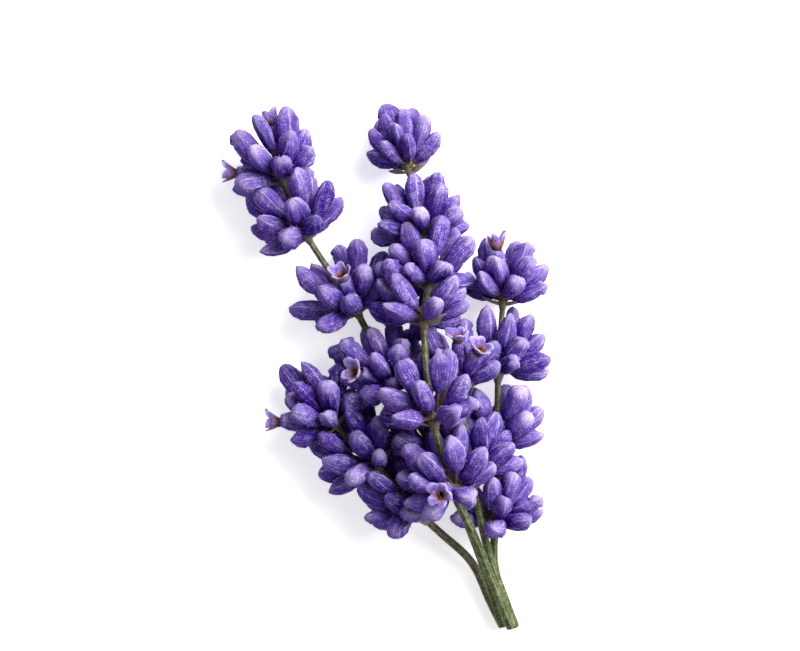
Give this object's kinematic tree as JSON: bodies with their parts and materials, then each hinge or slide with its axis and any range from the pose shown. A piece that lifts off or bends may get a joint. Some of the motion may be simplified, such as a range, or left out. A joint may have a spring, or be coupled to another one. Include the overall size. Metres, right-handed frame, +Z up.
{
  "type": "bunch of dried lavender",
  "caption": "Small bunch of cut lavender sprigs lying on its side: violet whorls of calyces, a few open flowers, papery bracts and green stems that meet at their cut ends.",
  "frame": {"origin": "middle of the bunch's outline, on the surface that it lies on", "axes": "+Y from the cut ends to the flower heads, +X to the right as seen from above, +Z up"},
  "size_m": [0.0614, 0.0996, 0.0293],
  "materials": {
    "stem": "matte olive green, finely ribbed and downy",
    "calyx": "velvety violet with paler ribs and tips",
    "bract": "dry, papery, brown",
    "flower": "soft lilac petals"
  },
  "bodies": {
    "root": {"centre_bracts_1": "bract", "centre_bracts_2": "bract", "centre_flower_1": "flower", "centre_flower_2": "flower", "centre_stem": "stem", "centre_whorl_1": "calyx", "centre_whorl_2": "calyx", "left_bracts_1": "bract", "left_bracts_2": "bract", "left_bracts_3": "bract", "left_bracts_4": "bract", "left_bracts_5": "bract", "left_flower_1": "flower", "left_flower_2": "flower", "left_flower_3": "flower", "left_flower_4": "flower", "left_stem": "stem", "left_whorl_1": "calyx", "left_whorl_2": "calyx", "left_whorl_3": "calyx", "left_whorl_4": "calyx", "left_whorl_5": "calyx", "low_bracts_1": "bract", "low_bracts_2": "bract", "low_bracts_3": "bract", "low_flower_1": "flower", "low_stem": "stem", "low_whorl_1": "calyx", "low_whorl_2": "calyx", "low_whorl_3": "calyx", "middle_bracts_1": "bract", "middle_bracts_2": "bract", "middle_bracts_3": "bract", "middle_bracts_4": "bract", "middle_bracts_5": "bract", "middle_bracts_6": "bract", "middle_flower_1": "flower", "middle_stem": "stem", "middle_whorl_1": "calyx", "middle_whorl_2": "calyx", "middle_whorl_3": "calyx", "middle_whorl_4": "calyx", "middle_whorl_5": "calyx", "middle_whorl_6": "calyx", "right_bracts_1": "bract", "right_bracts_2": "bract", "right_bracts_3": "bract", "right_bracts_4": "bract", "right_flower_1": "flower", "right_stem": "stem", "right_whorl_1": "calyx", "right_whorl_2": "calyx", "right_whorl_3": "calyx", "right_whorl_4": "calyx"}
  },
  "joints": []
}
